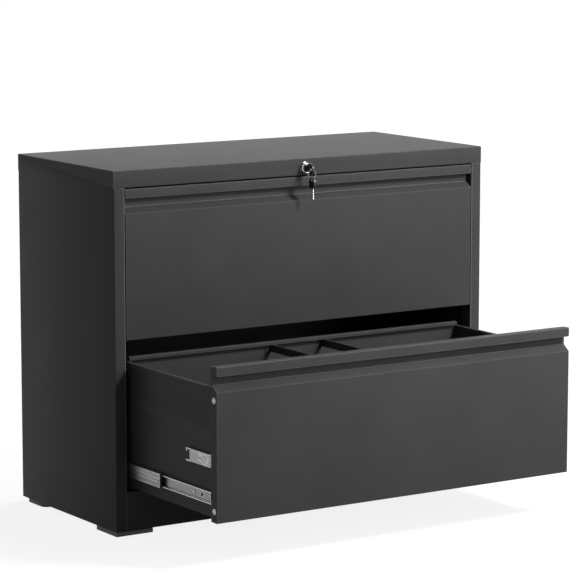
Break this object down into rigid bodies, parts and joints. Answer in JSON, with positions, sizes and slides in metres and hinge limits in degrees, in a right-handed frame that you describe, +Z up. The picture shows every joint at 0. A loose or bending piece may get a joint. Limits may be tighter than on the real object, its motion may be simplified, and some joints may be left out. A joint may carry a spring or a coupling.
{
  "type": "lateral filing cabinet",
  "caption": "Low wide steel filing cabinet with pull-out drawers on telescopic ball slides, J-shaped pull fronts and a cam lock that works a bar and a rod.",
  "frame": {"origin": "on the floor, under the middle of the outline that the cabinet has with its lower drawer open", "axes": "+X to the right seen from the front, -Y out of the front, +Z up"},
  "size_m": [0.9, 0.739, 0.735],
  "materials": {
    "case_paint": "fine matt powder coat, charcoal",
    "drawer_paint": "fine matt powder coat, charcoal",
    "slide_steel": "zinc plated, rolled",
    "cage_steel": "bright strip with polished balls",
    "zinc_steel": "zinc plated, stamped",
    "zinc_screw": "zinc plated, bright",
    "lock_chrome": "polished",
    "key_plastic": "satin black",
    "foot_rubber": "moulded, matt",
    "stop_plastic": "moulded black"
  },
  "bodies": {
    "case": {"left_side_panel": "case_paint", "right_side_panel": "case_paint", "top_panel": "case_paint", "back_panel": "case_paint", "base_panel": "case_paint", "kick_rail": "case_paint", "uprights": "case_paint", "front_feet": "foot_rubber", "rear_feet": "foot_rubber", "case_screws": "zinc_screw", "lock_body": "lock_chrome", "lock_nut": "zinc_steel", "lock_guides": "zinc_steel", "lower_left_outer_slide": "slide_steel", "lower_right_outer_slide": "slide_steel", "upper_left_outer_slide": "slide_steel", "upper_right_outer_slide": "slide_steel"},
    "lock_plug": {"lock_core": "lock_chrome", "lock_cam": "zinc_steel", "key": "key_plastic"},
    "lock_bar": {"lock_bar": "zinc_steel"},
    "lock_rod": {"lock_rod": "zinc_steel"},
    "lower_drawer": {"lower_front": "drawer_paint", "lower_front_liner": "drawer_paint", "lower_left_side": "drawer_paint", "lower_right_side": "drawer_paint", "lower_back": "drawer_paint", "lower_bottom": "drawer_paint", "lower_hanging_bars": "drawer_paint", "lower_cam_plate": "zinc_steel", "lower_screws": "zinc_screw", "lower_left_inner_slide": "slide_steel", "lower_right_inner_slide": "slide_steel"},
    "lower_mid_slides": {"lower_left_mid_slide": "slide_steel", "lower_right_mid_slide": "slide_steel", "lower_slide_stops": "stop_plastic"},
    "lower_outer_cages": {"lower_outer_cages": "cage_steel"},
    "lower_inner_cages": {"lower_inner_cages": "cage_steel"},
    "upper_drawer": {"upper_front": "drawer_paint", "upper_front_liner": "drawer_paint", "upper_left_side": "drawer_paint", "upper_right_side": "drawer_paint", "upper_back": "drawer_paint", "upper_bottom": "drawer_paint", "upper_hanging_bars": "drawer_paint", "upper_cam_plate": "zinc_steel", "upper_screws": "zinc_screw", "upper_left_inner_slide": "slide_steel", "upper_right_inner_slide": "slide_steel"},
    "upper_mid_slides": {"upper_left_mid_slide": "slide_steel", "upper_right_mid_slide": "slide_steel", "upper_slide_stops": "stop_plastic"},
    "upper_outer_cages": {"upper_outer_cages": "cage_steel"},
    "upper_inner_cages": {"upper_inner_cages": "cage_steel"}
  },
  "joints": [
    {"name": "lower_drawer_slide", "type": "slide", "parent": "case", "child": "lower_drawer", "axis": [0, -1, 0], "range_m": [-0.339, 0]},
    {"name": "lower_mid_slide_travel", "type": "slide", "parent": "case", "child": "lower_mid_slides", "axis": [0, -1, 0], "range_m": [-0.14597, 0]},
    {"name": "lower_outer_cage_travel", "type": "slide", "parent": "case", "child": "lower_outer_cages", "axis": [0, -1, 0], "range_m": [-0.07309, 0]},
    {"name": "lower_inner_cage_travel", "type": "slide", "parent": "case", "child": "lower_inner_cages", "axis": [0, -1, 0], "range_m": [-0.24259, 0]},
    {"name": "upper_drawer_slide", "type": "slide", "parent": "case", "child": "upper_drawer", "axis": [0, -1, 0], "range_m": [0, 0.339]},
    {"name": "upper_mid_slide_travel", "type": "slide", "parent": "case", "child": "upper_mid_slides", "axis": [0, -1, 0], "range_m": [0, 0.14597]},
    {"name": "upper_outer_cage_travel", "type": "slide", "parent": "case", "child": "upper_outer_cages", "axis": [0, -1, 0], "range_m": [0, 0.07309]},
    {"name": "upper_inner_cage_travel", "type": "slide", "parent": "case", "child": "upper_inner_cages", "axis": [0, -1, 0], "range_m": [0, 0.24259]},
    {"name": "lock_turn", "type": "hinge", "parent": "case", "child": "lock_plug", "pos_m": [0, -0.0305, 0.715], "axis": [0, 1, 0], "range_deg": [0, 90]},
    {"name": "lock_bar_slide", "type": "slide", "parent": "case", "child": "lock_bar", "axis": [-1, 0, 0], "range_m": [0, 0.01133]},
    {"name": "lock_rod_slide", "type": "slide", "parent": "case", "child": "lock_rod", "axis": [0, 0, 1], "range_m": [0, 0.0085]}
  ],
  "couplings": [
    {"joint": "lower_mid_slide_travel", "follows": "lower_drawer_slide", "ratio": 0.43},
    {"joint": "lower_outer_cage_travel", "follows": "lower_drawer_slide", "ratio": 0.215},
    {"joint": "lower_inner_cage_travel", "follows": "lower_drawer_slide", "ratio": 0.715},
    {"joint": "upper_mid_slide_travel", "follows": "upper_drawer_slide", "ratio": 0.43},
    {"joint": "upper_outer_cage_travel", "follows": "upper_drawer_slide", "ratio": 0.215},
    {"joint": "upper_inner_cage_travel", "follows": "upper_drawer_slide", "ratio": 0.715},
    {"joint": "lock_bar_slide", "follows": "lock_turn", "m_per_rad": 0.0072025},
    {"joint": "lock_rod_slide", "follows": "lock_turn", "m_per_rad": 0.0054019}
  ]
}
